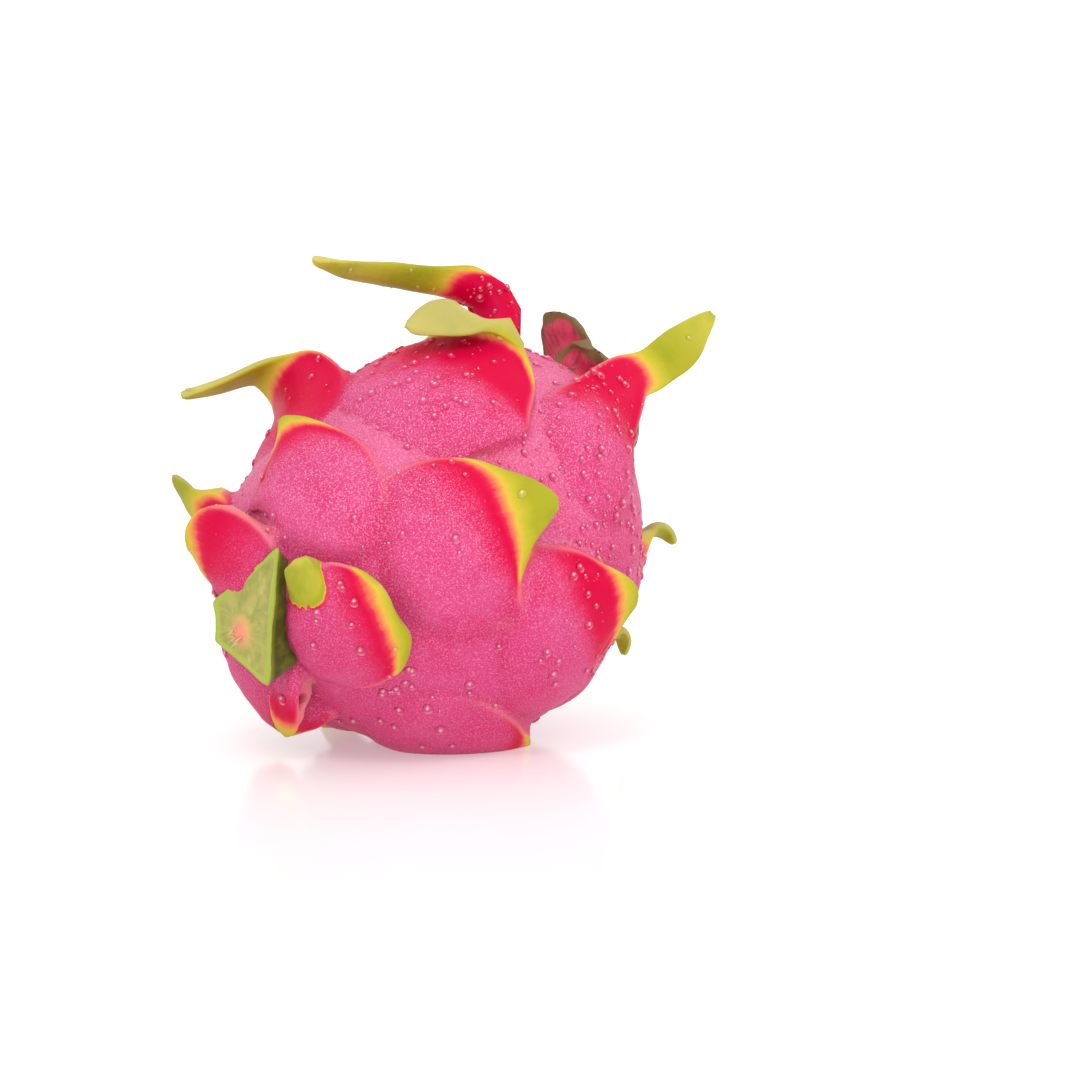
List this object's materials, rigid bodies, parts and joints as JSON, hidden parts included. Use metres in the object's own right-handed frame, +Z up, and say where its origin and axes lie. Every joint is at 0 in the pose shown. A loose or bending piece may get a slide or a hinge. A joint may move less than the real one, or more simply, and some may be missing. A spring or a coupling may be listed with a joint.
{
  "type": "dragon fruit",
  "caption": "Whole dragon fruit lying on its side, with fleshy green-tipped scales, a cut stem stub and a withered flower.",
  "frame": {"origin": "on the flat spot that the fruit rests on, under the middle of its body", "axes": "+Z up; the fruit's long axis lies in the XZ plane, with the cut stem towards -X and the withered flower raised towards +X"},
  "size_m": [0.1329, 0.1193, 0.1167],
  "materials": {
    "rind": "smooth waxy pink skin, slightly glossy, with yellow-green margins and tips on the scales and fine water droplets",
    "stem": "freshly cut green cactus stem, satin, with a pinkish woody core",
    "dried_flower": "dry, dull, wrinkled reddish petals with brown rims"
  },
  "bodies": {
    "root": {"fruit": "rind", "stem_stub": "stem", "withered_flower": "dried_flower"}
  },
  "joints": []
}
